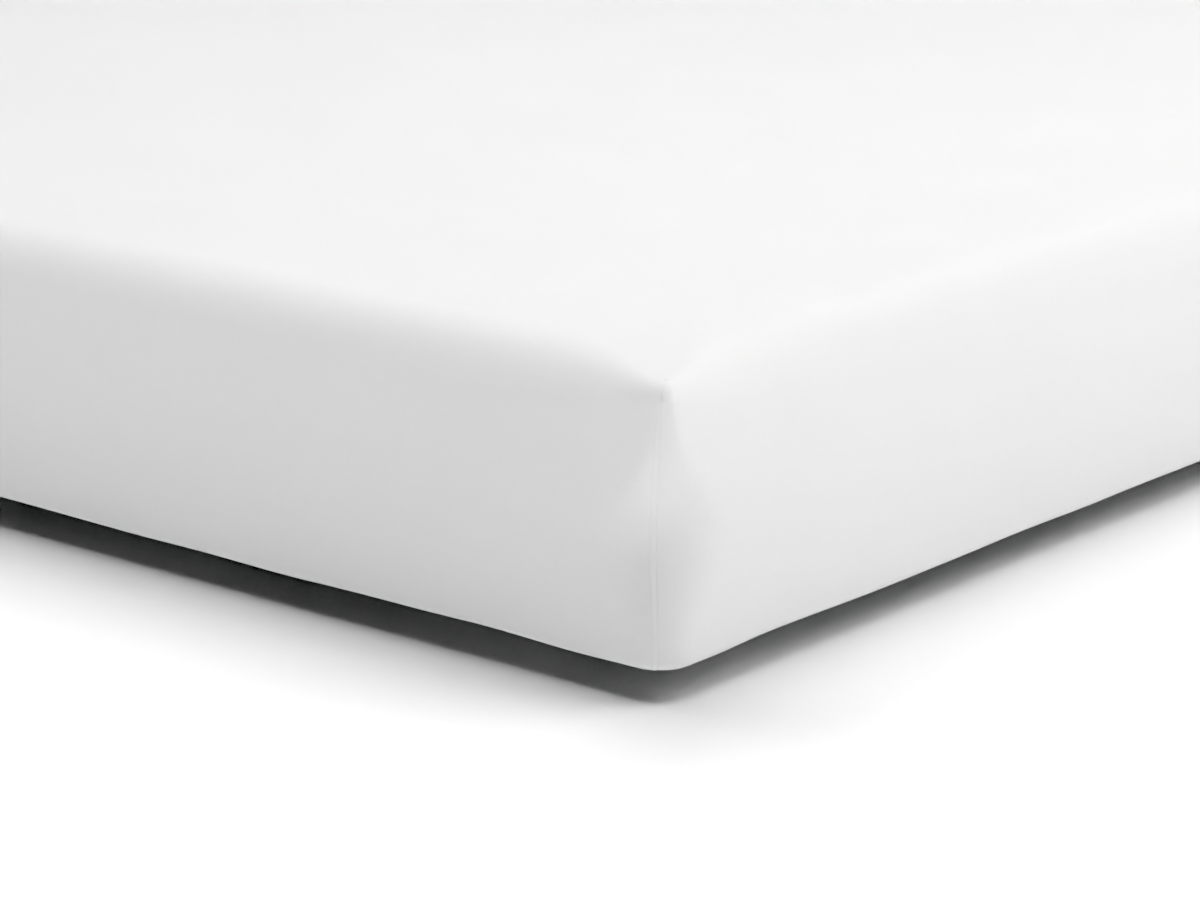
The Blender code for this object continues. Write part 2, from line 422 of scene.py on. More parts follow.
def shell(references, rows, shrink=0.0, edge_rounder=0.0, corner_rounder=0.0, least_corner=0.0):
    """The lofted surface: its points, the top panel's and walls' indices, and distances on each wall."""
    rings = [ring(row, references, shrink, edge_rounder, corner_rounder, least_corner) for row in rows]
    counts = [2 * (len(references[quarter % 2]) - 1) for quarter in range(4)]
    starts = np.cumsum([0] + counts)
    around = starts[4]
    index = np.arange(len(rows) * around).reshape(len(rows), around)
    closed = np.concatenate([index, index[:, :1]], axis=1)
    walls = [closed[:, starts[k] : starts[k + 1] + 1] for k in range(4)]

    rim = np.concatenate([rings[0], rings[0][:1]])
    south, east, north, west = (rim[starts[k] : starts[k + 1] + 1] for k in range(4))
    north = north[::-1]
    west = west[::-1]
    u = ((south[:, 0] - south[0, 0]) / (south[-1, 0] - south[0, 0]))[:, None, None]
    v = ((west[:, 1] - west[0, 1]) / (west[-1, 1] - west[0, 1]))[None, :, None]
    grid = (1 - v) * south[:, None] + v * north[:, None] + (1 - u) * west[None] + u * east[None]
    grid -= (1 - u) * (1 - v) * south[0] + u * (1 - v) * south[-1]
    grid -= (1 - u) * v * north[0] + u * v * north[-1]
    for _ in range(RELAX_STEPS):
        around_it = (grid[:-2, 1:-1] + grid[2:, 1:-1] + grid[1:-1, :-2] + grid[1:-1, 2:]) / 4
        inner = grid[1:-1, 1:-1]
        to_corner = np.hypot(HALF_WIDTH - np.abs(inner[..., 0]), HALF_LENGTH - np.abs(inner[..., 1]))
        inner += (around_it - inner) * hump(to_corner, RELAX_WITHIN)[..., None]
    grid[..., 2] = top_height(grid[..., 0], grid[..., 1]) - shrink

    top = np.empty(grid.shape[:2], int)
    inner = grid[1:-1, 1:-1]
    inner_count = inner.shape[0] * inner.shape[1]
    top[1:-1, 1:-1] = len(rows) * around + np.arange(inner_count).reshape(inner.shape[:2])
    top[:, 0] = walls[0][0]
    top[-1, :] = walls[1][0]
    top[:, -1] = walls[2][0][::-1]
    top[0, :] = walls[3][0][::-1]
    points = np.concatenate([*rings, inner.reshape(-1, 3)])

    along, down = [], []
    for quarter, wall in enumerate(walls):
        half = references[quarter % 2]
        along.append(np.concatenate([half, 2 * half[-1] - half[-2::-1]]))
        steps = np.linalg.norm(np.diff(points[wall], axis=0), axis=2)
        down.append(np.concatenate([np.zeros((1, wall.shape[1])), np.cumsum(steps, axis=0)]))
    return Shell(points, top, walls, along, down)


def quads(index):
    """The faces of a grid of indices, wound so that a wall's face out and the top panel's up."""
    corners = [index[:-1, :-1], index[1:, :-1], index[1:, 1:], index[:-1, 1:]]
    return np.stack(corners, axis=-1).reshape(-1, 4)


def flat_cut(made):
    """Where each grid's points lie on the unsewn cloth: the top panel as it is, the walls folded out."""
    cuts = [made.points[made.top][..., :2]]
    for quarter, wall in enumerate(made.walls):
        turn = quarter * math.pi / 2
        out = np.array([math.sin(turn), -math.cos(turn)])
        cuts.append(made.points[wall[0], :2][None] + made.down[quarter][..., None] * out)
    return cuts


def mesh_of(name, points, grids, cuts):
    """A smooth mesh of index grids. Its UV map is where each point lies on the flat cloth, in metres."""
    mesh = bpy.data.meshes.new(name)
    mesh.from_pydata(points.tolist(), [], np.concatenate([quads(grid) for grid in grids]).tolist())
    corners = []
    for grid, cut in zip(grids, cuts):
        local = quads(np.arange(grid.size).reshape(grid.shape))
        corners.append(cut.reshape(-1, 2)[local].reshape(-1, 2))
    uv = mesh.uv_layers.new(name="cut")
    uv.data.foreach_set("uv", np.concatenate(corners).astype(np.float32).ravel())
    mesh.shade_smooth()
    mesh.update()
    return mesh


# ---------------------------------------------------------------------------------------------------------
# Relief of the cloth: seams, pinches, waves and ripples


def ripple(ripples, along, across):
    """The sum of faint waves at the given places."""
    height = 0.0
    for wave in ripples:
        turn = math.radians(wave.turn)
        run = along * math.cos(turn) + across * math.sin(turn)
        height = height + wave.rise * np.sin(2 * math.pi * run / wave.length + wave.phase)
    return height


def seam_relief(offset, down, depth):
    """Rise of the cloth beside an upright seam, by the signed distance round the corner and that down."""
    across = offset + SEAM_AT
    groove = -depth * hump(across, SEAM_HALF_WIDTH)
    sewn = -STITCHED_DEPTH_SHARE * depth * hump(across + STITCHED_FROM_SEAM, STITCHED_HALF_WIDTH)
    turned = fade(-across, ALLOWANCE_FADE) * ease((ALLOWANCE + across) / ALLOWANCE_ENDS_WITHIN)
    turns = 2 * math.pi * down / PUCKER_PITCH
    second = np.sin(turns / SECOND_PUCKER_LONGER + SECOND_PUCKER_PHASE)
    swing = np.sin(turns) + SECOND_PUCKER_SHARE * second
    pucker = PUCKER_RISE * swing * hump(across + 0.5 * STITCHED_FROM_SEAM, PUCKER_HALF_WIDTH)
    pinched = hump(offset - PINCH_ASIDE, PINCH_HALF_WIDTH) * hump(down - PINCH_AT, PINCH_HALF_HEIGHT)
    rise = groove + sewn + ALLOWANCE_RISE * turned + pucker - PINCH_DEPTH * pinched
    return fade(down, SEAM_FADE) * rise


def relief(made, seam_depth):
    """How far each point rises along its normal, and how far it drops at the foot of the walls."""
    rise = np.zeros(len(made.points))
    drop = np.zeros(len(made.points))
    rise[made.top] = ripple(RIPPLES, made.points[made.top][..., 0], made.points[made.top][..., 1])
    round_so_far = 0.0
    for quarter, wall in enumerate(made.walls):
        along = made.along[quarter][None]
        down = made.down[quarter]
        length = along[0, -1]
        middle_down = down[:, along.shape[1] // 2][:, None]
        from_seam = np.minimum(along, length - along)
        rim = made.points[wall[0]]
        below_rim = ease(down / RIPPLES_BLEND_WITHIN)
        swell = ripple(RIPPLES, rim[None, :, 0], rim[None, :, 1]) * (1 - below_rim)
        own = ripple(RIPPLES, round_so_far + along, WALL_RIPPLES_SHORTER * down)
        swell = swell + own * below_rim * ease(from_seam / RIPPLES_BLEND_WITHIN)
        for wave in WAVES:
            if wave.wall == quarter:
                upright = wave.swell * hump(along - wave.along, wave.half_width)
                swell = swell + upright * fade(middle_down, WAVES_FADE)
        gathers = np.sin(2 * math.pi * along / length * round(length / UNDERSIDE_GATHER_PITCH))
        gathers = UNDERSIDE_GATHER_RISE * gathers * fade(middle_down, UNDERSIDE_GATHER_FADE)
        seams = seam_relief(along, down, seam_depth) + seam_relief(along - length, down, seam_depth)
        rise[wall] = swell + seams + gathers
        wander = ripple(FOOT_WANDER, round_so_far + along, 0.0) * fade(from_seam, WANDER_AT_SEAM)
        drop[wall] = wander * fade(middle_down, WANDER_FADE) * (1 - fade(middle_down, WANDER_END))
        round_so_far += length
    return rise, drop


def points_of(mesh):
    found = np.empty(len(mesh.vertices) * 3, np.float32)
    mesh.vertices.foreach_get("co", found)
    return found.reshape(-1, 3)


def shift_along_normals(mesh, rise, drop):
    """Moves each point along its normal by the rise, and down by the drop."""
    normals = np.empty(len(mesh.vertices) * 3, np.float32)
    mesh.vertex_normals.foreach_get("vector", normals)
    points = points_of(mesh) + normals.reshape(-1, 3) * rise[:, None]
    points[:, 2] -= drop
    mesh.vertices.foreach_set("co", points.astype(np.float32).ravel())
    mesh.update()


def casing_mesh(name):
    """The gathered casing round the sheet's hem, a flat tube along the slope beneath the mattress."""
    references = [np.linspace(0.0, half, round(half / CASING_STEP)) for half in (HALF_WIDTH, HALF_LENGTH)]
    middle = HEM_REACH - (1 - CASING_PAST_HEM) * CASING_HALF
    flat, normals, _ = outline(middle, CORNER_AT_HEM, references)
    around = len(flat)
    steps = np.linalg.norm(flat - np.roll(flat, 1, axis=0), axis=1)
    run = np.cumsum(steps)
    turns = 2 * math.pi * np.round(run[-1] / GATHER_PITCH) * run / run[-1]
    second = np.sin(SECOND_GATHER_SHORTER * turns + SECOND_GATHER_PHASE) * np.sin(math.pi * run / run[-1])
    gather = np.sin(turns) + SECOND_GATHER_SHARE * second
    points, cut = [], []
    for k in range(CASING_SIDES + 1):
        angle = 2 * math.pi * k / CASING_SIDES
        across = math.copysign(abs(math.cos(angle)) ** CASING_EDGE_POWER, math.cos(angle))
        up = math.copysign(abs(math.sin(angle)) ** CASING_FACE_POWER, math.sin(angle))
        widened = CASING_HALF * across * (1 + GATHER_WIDENS * gather)
        plan = flat - normals * widened[:, None]
        level = under_height(middle + widened) + 0.5 * CASING_THICK * up - CASING_SINKS
        points.append(np.column_stack([plan, level + min(0.0, up) * GATHER_RISE * gather]))
        cut.append(np.column_stack([run, np.full(around, CASING_ROUND * k / CASING_SIDES)]))
    index = np.arange(CASING_SIDES * around).reshape(CASING_SIDES, around)
    index = np.concatenate([index, index[:1]])
    index = np.concatenate([index, index[:, :1]], axis=1)[:, ::-1]
    cut = np.array(cut)
    cut = np.concatenate([cut, cut[:, :1] + (run[-1], 0.0)], axis=1)[:, ::-1]
    return mesh_of(name, np.concatenate(points[:-1]), [index], [cut])


# ---------------------------------------------------------------------------------------------------------
# Node trees


def add_node(tree, kind, settings=None, inputs=None):
    """A node with its settings, and its inputs set to values or linked from output sockets."""
    node = tree.nodes.new(kind)
    for key, value in (settings or {}).items():
        setattr(node, key, value)
    for key, value in (inputs or {}).items():
        socket = node.inputs[key]
        if isinstance(value, bpy.types.NodeSocket):
            tree.links.new(value, socket)
        else:
            socket.default_value = value
    return node


def new_material(name):
    made = bpy.data.materials.new(name)
    made.use_nodes = True
    made.node_tree.nodes.clear()
    return made


def finish_material(made, settings):
    """A Principled shader with the given inputs, as the material's surface."""
    shader = add_node(made.node_tree, "ShaderNodeBsdfPrincipled", inputs=settings)
    add_node(made.node_tree, "ShaderNodeOutputMaterial", inputs={"Surface": shader.outputs["BSDF"]})
    return made


def blended_tone(tree, factor, color, darker):
    """The colour, taken down to a share of itself where the factor is low."""
    dark = [channel * darker for channel in color[:3]] + [1.0]
    mix = add_node(tree, "ShaderNodeMix", {"data_type": "RGBA"}, {"Factor": factor, 6: dark, 7: color})
    return mix.outputs[2]


def stripes(tree, vector, direction, pitch):
    """Parallel threads of the given pitch, as a soft wave from 0 to 1."""
    settings = {"wave_type": "BANDS", "bands_direction": direction}
    wave = add_node(tree, "ShaderNodeTexWave", settings, {"Vector": vector, "Scale": BAND_SCALE / pitch})
    return wave.outputs["Fac"]


def grain(tree, vector, scale, detail=2.0):
    """Soft noise of the given scale, from 0 to 1."""
    inputs = {"Vector": vector, "Scale": scale, "Detail": detail}
    return add_node(tree, "ShaderNodeTexNoise", inputs=inputs).outputs["Fac"]


def slubs_along(tree, vector, stretch):
    """Slubs: short runs of thicker thread, drawn out along one way of the cloth."""
    drawn = add_node(tree, "ShaderNodeMapping", inputs={"Vector": vector, "Scale": stretch})
    return grain(tree, drawn.outputs["Vector"], SLUBS_PER_METRE)


def math_node(tree, operation, *values):
    inputs = dict(enumerate(values))
    return add_node(tree, "ShaderNodeMath", {"operation": operation}, inputs).outputs["Value"]


def percale_cotton(color, pitch):
    """Plain-woven combed cotton, bleached: matt, faintly slubbed, its short nap bright at the rims."""
    made = new_material("percale_cotton_plain_weave")
    tree = made.node_tree
    cut = add_node(tree, "ShaderNodeUVMap", {"uv_map": "cut"}).outputs["UV"]
    # Warp and weft cross at right angles. Real percale has four threads a millimetre, drawn coarser here
    # so that a thread is no finer than a close view can hold.
    warp = stripes(tree, cut, "X", pitch)
    weft = stripes(tree, cut, "Y", pitch)
    over = add_node(tree, "ShaderNodeTexChecker", inputs={"Vector": cut, "Scale": 1.0 / pitch})
    woven = add_node(
        tree, "ShaderNodeMix", {"data_type": "FLOAT"}, {0: over.outputs["Fac"], 2: warp, 3: weft}
    ).outputs[0]
    # Slubs run along both ways and make the yarn read as spun, not printed.
    slub_warp = slubs_along(tree, cut, (1.0, SLUB_STRETCH, 1.0))
    slub_weft = slubs_along(tree, cut, (SLUB_STRETCH, 1.0, 1.0))
    slubs = math_node(tree, "MULTIPLY", slub_warp, slub_weft)
    height = math_node(tree, "MULTIPLY_ADD", slubs, 1.4, woven)
    bump = add_node(
        tree, "ShaderNodeBump", inputs={"Strength": 0.45, "Distance": 0.00006, "Height": height}
    )
    # Broad, barely seen differences of tone, as cloth has where it was pressed and pulled.
    cloudy = grain(tree, cut, CLOUDS_PER_METRE, 3.0)
    tone = math_node(tree, "MULTIPLY_ADD", slubs, 0.8, cloudy)
    return finish_material(
        made,
        {
            "Base Color": blended_tone(tree, tone, color, 0.975),
            "Roughness": 0.88,
            "IOR": 1.45,
            "Specular IOR Level": 0.25,
            "Sheen Weight": 0.06,
            "Sheen Roughness": 0.5,
            "Normal": bump.outputs["Normal"],
        },
    )


def spun_thread(color):
    """Corespun polyester thread: two plies twisted, slightly brighter and smoother than the cloth."""
    made = new_material("polyester_thread_two_ply")
    tree = made.node_tree
    place = add_node(tree, "ShaderNodeTexCoord").outputs["Object"]
    # The twist shows as fine slanting bands across each stitch, in relief and as painted shade in the
    # grooves between the plies.
    twist = add_node(
        tree,
        "ShaderNodeTexWave",
        {"wave_type": "BANDS", "bands_direction": "DIAGONAL"},
        {"Vector": place, "Scale": BAND_SCALE / PLY_PITCH, "Distortion": 1.0},
    ).outputs["Fac"]
    bump = add_node(tree, "ShaderNodeBump", inputs={"Strength": 0.5, "Distance": 0.00008, "Height": twist})
    return finish_material(
        made,
        {
            # The colour is painted darker in the twist's grooves, as shade between the plies.
            "Base Color": blended_tone(tree, twist, color, 0.93),
            "Roughness": 0.55,
            "Sheen Weight": 0.05,
            "Normal": bump.outputs["Normal"],
        },
    )


def knitted_ticking(color):
    """Warp-knitted polyester ticking: rows of small loops, softly napped, with painted shade between its
    ribs.
    """
    made = new_material("knitted_polyester_ticking")
    tree = made.node_tree
    place = add_node(tree, "ShaderNodeTexCoord").outputs["Object"]
    # Ribs every 2.4 mm, crossed by courses every 1.6 mm, give the loops of a knit.
    ribs = stripes(tree, place, "X", RIB_PITCH)
    courses = stripes(tree, place, "Y", COURSE_PITCH)
    loops = math_node(tree, "MULTIPLY", ribs, courses)
    # The nap scatters light where the loops are brushed up.
    nap = grain(tree, place, NAP_PER_METRE)
    height = math_node(tree, "MULTIPLY_ADD", nap, 0.4, loops)
    bump = add_node(tree, "ShaderNodeBump", inputs={"Strength": 0.6, "Distance": 0.0003, "Height": height})
    return finish_material(
        made,
        {
            # The colour is painted darker between the loops, as shade in the knit's hollows.
            "Base Color": blended_tone(tree, loops, color, 0.86),
            "Roughness": 0.92,
            "Sheen Weight": 0.10,
            "Sheen Roughness": 0.4,
            "Normal": bump.outputs["Normal"],
        },
    )


def studio_floor(color):
    """Sanded white acrylic, matt, with a faint stipple, and a painted glow in its emission away from the
    mattress.
    """
    made = new_material("studio_floor_painted_glow")
    tree = made.node_tree
    place = add_node(tree, "ShaderNodeTexCoord").outputs["Object"]
    # The floor's emission is painted light. The weak glow starts just beside the mattress and softens the
    # contact shadow's outer edge. The strong one takes the floor further away to an even white.
    flat = add_node(tree, "ShaderNodeVectorMath", {"operation": "ABSOLUTE"}, {0: place}).outputs["Vector"]
    covered = (HALF_WIDTH, HALF_LENGTH, 0.0)
    beyond = add_node(tree, "ShaderNodeVectorMath", {"operation": "SUBTRACT"}, {0: flat, 1: covered})
    apart = add_node(tree, "ShaderNodeSeparateXYZ", inputs={"Vector": beyond.outputs["Vector"]}).outputs
    out = math_node(tree, "MAXIMUM", apart["X"], apart["Y"])
    light = 0.0
    for glow in FLOOR_GLOWS:
        rising = add_node(
            tree,
            "ShaderNodeMapRange",
            {"interpolation_type": "SMOOTHSTEP"},
            {"Value": out, "From Min": glow.start, "From Max": glow.full, "To Max": glow.strength},
        )
        light = math_node(tree, "ADD", rising.outputs["Result"], light)
    stipple = grain(tree, place, STIPPLE_PER_METRE)
    rough = add_node(tree, "ShaderNodeMapRange", inputs={"Value": stipple, "To Min": 0.88, "To Max": 0.98})
    return finish_material(
        made,
        {
            "Base Color": color,
            "Roughness": rough.outputs["Result"],
            "Specular IOR Level": 0.1,
            # The emission is the floor's painted glow.
            "Emission Color": (1.0, 1.0, 1.0, 1.0),
            "Emission Strength": light,
        },
    )


STITCH_INPUTS = (("Pitch", 0.003), ("Length", 0.0024), ("Thread radius", 0.00022))


def stitch_tree():
    """Geometry Nodes: a row of stitches along an edge line, each slightly askew."""
    tree = bpy.data.node_groups.new("row_of_stitches", "GeometryNodeTree")
    sockets = tree.interface
    sockets.new_socket("Line", in_out="INPUT", socket_type="NodeSocketGeometry")
    for name, value in STITCH_INPUTS:
        socket = sockets.new_socket(name, in_out="INPUT", socket_type="NodeSocketFloat")
        socket.subtype = "DISTANCE"
        socket.default_value = value
    sockets.new_socket("Thread", in_out="INPUT", socket_type="NodeSocketMaterial")
    sockets.new_socket("Stitches", in_out="OUTPUT", socket_type="NodeSocketGeometry")
    given = add_node(tree, "NodeGroupInput").outputs
    line = add_node(tree, "GeometryNodeMeshToCurve", inputs={"Mesh": given["Line"]})
    spots = add_node(
        tree,
        "GeometryNodeCurveToPoints",
        {"mode": "LENGTH"},
        {"Curve": line.outputs["Curve"], "Length": given["Pitch"]},
    )
    facing = add_node(
        tree, "FunctionNodeAlignRotationToVector", {"axis": "Z"}, {"Vector": spots.outputs["Tangent"]}
    )
    askew = add_node(
        tree,
        "FunctionNodeRandomValue",
        {"data_type": "FLOAT_VECTOR"},
        {
            "Min": (-STITCH_ASKEW, -STITCH_ASKEW, 0.0),
            "Max": (STITCH_ASKEW, STITCH_ASKEW, 0.0),
            "Seed": STITCH_SEED,
        },
    )
    turned = add_node(
        tree,
        "FunctionNodeRotateRotation",
        {"rotation_space": "LOCAL"},
        {"Rotation": facing.outputs["Rotation"], "Rotate By": askew.outputs["Value"]},
    )
    half = add_node(tree, "ShaderNodeMath", {"operation": "MULTIPLY"}, {0: given["Length"], 1: 0.5})
    size = add_node(
        tree,
        "ShaderNodeCombineXYZ",
        inputs={"X": given["Thread radius"], "Y": given["Thread radius"], "Z": half.outputs["Value"]},
    )
    bead = add_node(tree, "GeometryNodeMeshUVSphere", inputs={"Segments": 6, "Rings": 4, "Radius": 1.0})
    stitch = add_node(
        tree,
        "GeometryNodeTransform",
        inputs={"Geometry": bead.outputs["Mesh"], "Scale": size.outputs["Vector"]},
    )
    placed = add_node(
        tree,
        "GeometryNodeInstanceOnPoints",
        inputs={
            "Points": spots.outputs["Points"],
            "Instance": stitch.outputs["Geometry"],
            "Rotation": turned.outputs["Rotation"],
        },
    )
    real = add_node(tree, "GeometryNodeRealizeInstances", inputs={"Geometry": placed.outputs["Instances"]})
    finish = add_node(
        tree,
        "GeometryNodeSetMaterial",
        inputs={"Geometry": real.outputs["Geometry"], "Material": given["Thread"]},
    )
    add_node(tree, "NodeGroupOutput", inputs={"Stitches": finish.outputs["Geometry"]})
    return tree


def stitched(name, lines, tree, values):
    """The mesh of stitches along the given lines of points, each line open or closed."""
    points, edges = [], []
    for line, is_loop in lines:
        first = len(points)
        points.extend(line.tolist())
        edges.extend((k, k + 1) for k in range(first, len(points) - 1))
        if is_loop:
            edges.append((len(points) - 1, first))
    guide_mesh = bpy.data.meshes.new(name + "_guide")
    guide_mesh.from_pydata(points, edges, [])
    guide = bpy.data.objects.new(name + "_guide", guide_mesh)
    bpy.context.scene.collection.objects.link(guide)
    sewing = guide.modifiers.new("sewing", "NODES")
    sewing.node_group = tree
    for item in tree.interface.items_tree:
        if item.in_out == "INPUT" and item.name in values:
            sewing[item.identifier] = values[item.name]
    graph = bpy.context.evaluated_depsgraph_get()
    mesh = bpy.data.meshes.new_from_object(guide.evaluated_get(graph))
    mesh.name = name
    mesh.shade_smooth()
    bpy.data.objects.remove(guide)
    bpy.data.meshes.remove(guide_mesh)
    return mesh


# ---------------------------------------------------------------------------------------------------------
# What a user can change


class BEDDING_PG_sheet(bpy.types.PropertyGroup):
    color: bpy.props.FloatVectorProperty(
        name="Cloth colour",
        description="Colour of the bleached cotton",
        subtype="COLOR",
        default=hex_color(CLOTH_WHITE)[:3],
        min=0.0,
        max=1.0,
    )
    thickness: bpy.props.FloatProperty(
        name="Cloth thickness",
        description="Thickness of the cloth as drawn, with its nap",
        subtype="DISTANCE",
        unit="LENGTH",
        default=0.0008,
        min=0.0003,
        max=0.0015,
    )
    weave_pitch: bpy.props.FloatProperty(
        name="Weave pitch",
        description="Distance from thread to thread",
        subtype="DISTANCE",
        unit="LENGTH",
        default=0.0012,
        min=0.0002,
        max=0.0030,
    )
    seam_depth: bpy.props.FloatProperty(
        name="Seam depth",
        description="Depth of the groove at the upright corner seams",
        subtype="DISTANCE",
        unit="LENGTH",
        default=SEAM_DEPTH,
        min=0.0,
        max=0.002,
    )


class BEDDING_PG_stitching(bpy.types.PropertyGroup):
    color: bpy.props.FloatVectorProperty(
        name="Thread colour",
        description="Colour of the sewing thread",
        subtype="COLOR",
        default=hex_color(THREAD_WHITE)[:3],
        min=0.0,
        max=1.0,
    )
    seam_pitch: bpy.props.FloatProperty(
        name="Seam stitch pitch",
        description="Distance from stitch to stitch beside the corner seams",
        subtype="DISTANCE",
        unit="LENGTH",
        default=0.0030,
        min=0.0015,
        max=0.0060,
    )
    hem_pitch: bpy.props.FloatProperty(
        name="Hem stitch pitch",
        description="Distance from stitch to stitch along the elastic casing",
        subtype="DISTANCE",
        unit="LENGTH",
        default=0.0045,
        min=0.0020,
        max=0.0080,
    )
    thread_radius: bpy.props.FloatProperty(
        name="Thread radius",
        description="Radius of the sewing thread",
        subtype="DISTANCE",
        unit="LENGTH",
        default=0.00022,
        min=0.0001,
        max=0.0005,
    )


class BEDDING_PG_mattress(bpy.types.PropertyGroup):
    color: bpy.props.FloatVectorProperty(
        name="Ticking colour",
        description="Colour of the mattress cover",
        subtype="COLOR",
        default=hex_color(TICKING_GREY)[:3],
        min=0.0,
        max=1.0,
    )


class BEDDING_PG_studio(bpy.types.PropertyGroup):
    floor_color: bpy.props.FloatVectorProperty(
        name="Floor colour",
        description="Colour of the painted floor",
        subtype="COLOR",
        default=hex_color(FLOOR_WHITE)[:3],
        min=0.0,
        max=1.0,
    )
    brightness: bpy.props.FloatProperty(
        name="Softboxes",
        description="Strength of the softboxes, as a share of their own watts",
        default=1.0,
        min=0.0,
        max=4.0,
    )
    horizon: bpy.props.FloatProperty(
        name="Horizon glow",
        description="Strength of the lit foot of the studio wall",
        default=HORIZON_GLOW,
        min=0.0,
        max=20.0,
    )


# ---------------------------------------------------------------------------------------------------------
# Operators


def put(mesh, name, material):
    """Links a finished mesh as a piece, gives it its finish, and lets it ride on the body."""
    piece = bpy.data.objects.new(name, mesh)
    bpy.context.scene.collection.objects.link(piece)
    piece.data.materials.clear()
    piece.data.materials.append(material)
    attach(piece, BODY)
    return piece


def cloth_shell():
    """The cloth's shell, with close columns at the seams and close rows down the walls."""
    return shell(*columns_and_rows(CLOTH_DENSITY, HEM_REACH))


class BEDDING_OT_cloth(bpy.types.Operator):
    """Build the sheet's cloth, with its corner seams and its soft folds"""

    bl_idname = "bedding.cloth"
    bl_label = "Sheet cloth"

    def execute(self, context):
        chosen = context.scene.bedding_sheet
        made = cloth_shell()
        mesh = mesh_of("sheet_cloth", made.points, [made.top, *made.walls], flat_cut(made))
        shift_along_normals(mesh, *relief(made, chosen.seam_depth))
        cotton = percale_cotton((*chosen.color, 1.0), chosen.weave_pitch)
        piece = put(mesh, "sheet_cloth", cotton)
        solid = piece.modifiers.new("cloth thickness", "SOLIDIFY")
        solid.thickness = chosen.thickness
        solid.offset = -1.0
        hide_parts("fitted_sheet")
        return {"FINISHED"}


class BEDDING_OT_casing(bpy.types.Operator):
    """Fold the cloth's edge round its elastic beneath the mattress"""

    bl_idname = "bedding.casing"
    bl_label = "Gathered hem"

    def execute(self, context):
        cotton = bpy.data.objects["sheet_cloth"].data.materials[0]
        put(casing_mesh("gathered_hem"), "gathered_hem", cotton)
        return {"FINISHED"}


class BEDDING_OT_stitching(bpy.types.Operator):
    """Sew the rows of stitches beside the corner seams and along the casing"""

    bl_idname = "bedding.stitching"
    bl_label = "Stitching"

    def execute(self, context):
        chosen = context.scene.bedding_stitching
        thread = spun_thread((*chosen.color, 1.0))
        cloth = bpy.data.objects["sheet_cloth"]
        casing = bpy.data.objects["gathered_hem"]
        made = cloth_shell()
        points = points_of(cloth.data)
        column = -1 - SEAM_COLUMNS.index(STITCHED_AT)
        rows = slice(SEAM_SEWN_FROM_ROW, None)
        seams = [(points[wall[rows, column]], False) for wall in made.walls]
        around = len(casing.data.vertices) // CASING_SIDES
        hem_side = points_of(casing.data)[CASING_SEWN_SIDE * around : (CASING_SEWN_SIDE + 1) * around]

        tree = stitch_tree()
        for name, lines, pitch in (
            ("seam_stitches", seams, chosen.seam_pitch),
            ("hem_stitches", [(hem_side, True)], chosen.hem_pitch),
        ):
            values = {
                "Pitch": pitch,
                "Length": STITCH_SHARE * pitch,
                "Thread radius": chosen.thread_radius,
                "Thread": thread,
            }
            put(stitched(name, lines, tree, values), name, thread)

        return {"FINISHED"}


class BEDDING_OT_mattress(bpy.types.Operator):
    """Build the mattress that the sheet is pulled over"""

    bl_idname = "bedding.mattress"
    bl_label = "Mattress"

    def execute(self, context):
        references, rows = columns_and_rows(MATTRESS_DENSITY, BELLY_REACH)
        made = shell(references, rows, MATTRESS_ROOM, EDGE_ROUNDER, CORNER_ROUNDER, MATTRESS_CORNER)
        mesh = mesh_of("mattress_body", made.points, [made.top, *made.walls], flat_cut(made))
        whole = bmesh.new()
        whole.from_mesh(mesh)
        rim = [edge for edge in whole.edges if edge.is_boundary]
        bmesh.ops.contextual_create(whole, geom=rim)
        whole.to_mesh(mesh)
        whole.free()
        ticking = knitted_ticking((*context.scene.bedding_mattress.color, 1.0))
        piece = put(mesh, "mattress_body", ticking)
        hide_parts("mattress")
        return {"FINISHED"}


def toward(turn, height):
    """The direction that a view with this compass turn and height angle looks back along."""
    turn = math.radians(turn)
    height = math.radians(height)
    flat = math.cos(height)
    return Vector((math.sin(turn) * flat, -math.cos(turn) * flat, math.sin(height)))


def face_back(thing, place, out):
    """Stands a lamp or the camera at a place, looking back against the given direction."""
    thing.location = place
    thing.rotation_mode = "QUATERNION"
    thing.rotation_quaternion = (-out).to_track_quat("-Z", "Y")
    bpy.context.scene.collection.objects.link(thing)


def studio_world(glow):
    """A white studio whose walls are lit at their foot. The lens sees it as plain white."""
    world = bpy.data.worlds.new("studio_world")
    world.use_nodes = True
    tree = world.node_tree
    tree.nodes.clear()
    place = add_node(tree, "ShaderNodeTexCoord").outputs["Generated"]
    level = add_node(tree, "ShaderNodeSeparateXYZ", inputs={"Vector": place}).outputs["Z"]
    band = add_node(
        tree,
        "ShaderNodeMapRange",
        {"interpolation_type": "SMOOTHSTEP"},
        {
            "Value": level,
            "From Min": 0.5 * GLOW_HEIGHT,
            "From Max": 1.5 * GLOW_HEIGHT,
            "To Min": glow,
            "To Max": 0.0,
        },
    )
    seen = add_node(tree, "ShaderNodeLightPath").outputs["Is Camera Ray"]
    strength = add_node(
        tree,
        "ShaderNodeMix",
        {"data_type": "FLOAT"},
        {0: seen, 2: band.outputs["Result"], 3: WALLS_AS_SEEN},
    )
    light = add_node(
        tree, "ShaderNodeBackground", inputs={"Color": (1, 1, 1, 1), "Strength": strength.outputs[0]}
    )
    add_node(tree, "ShaderNodeOutputWorld", inputs={"Surface": light.outputs["Background"]})
    return world


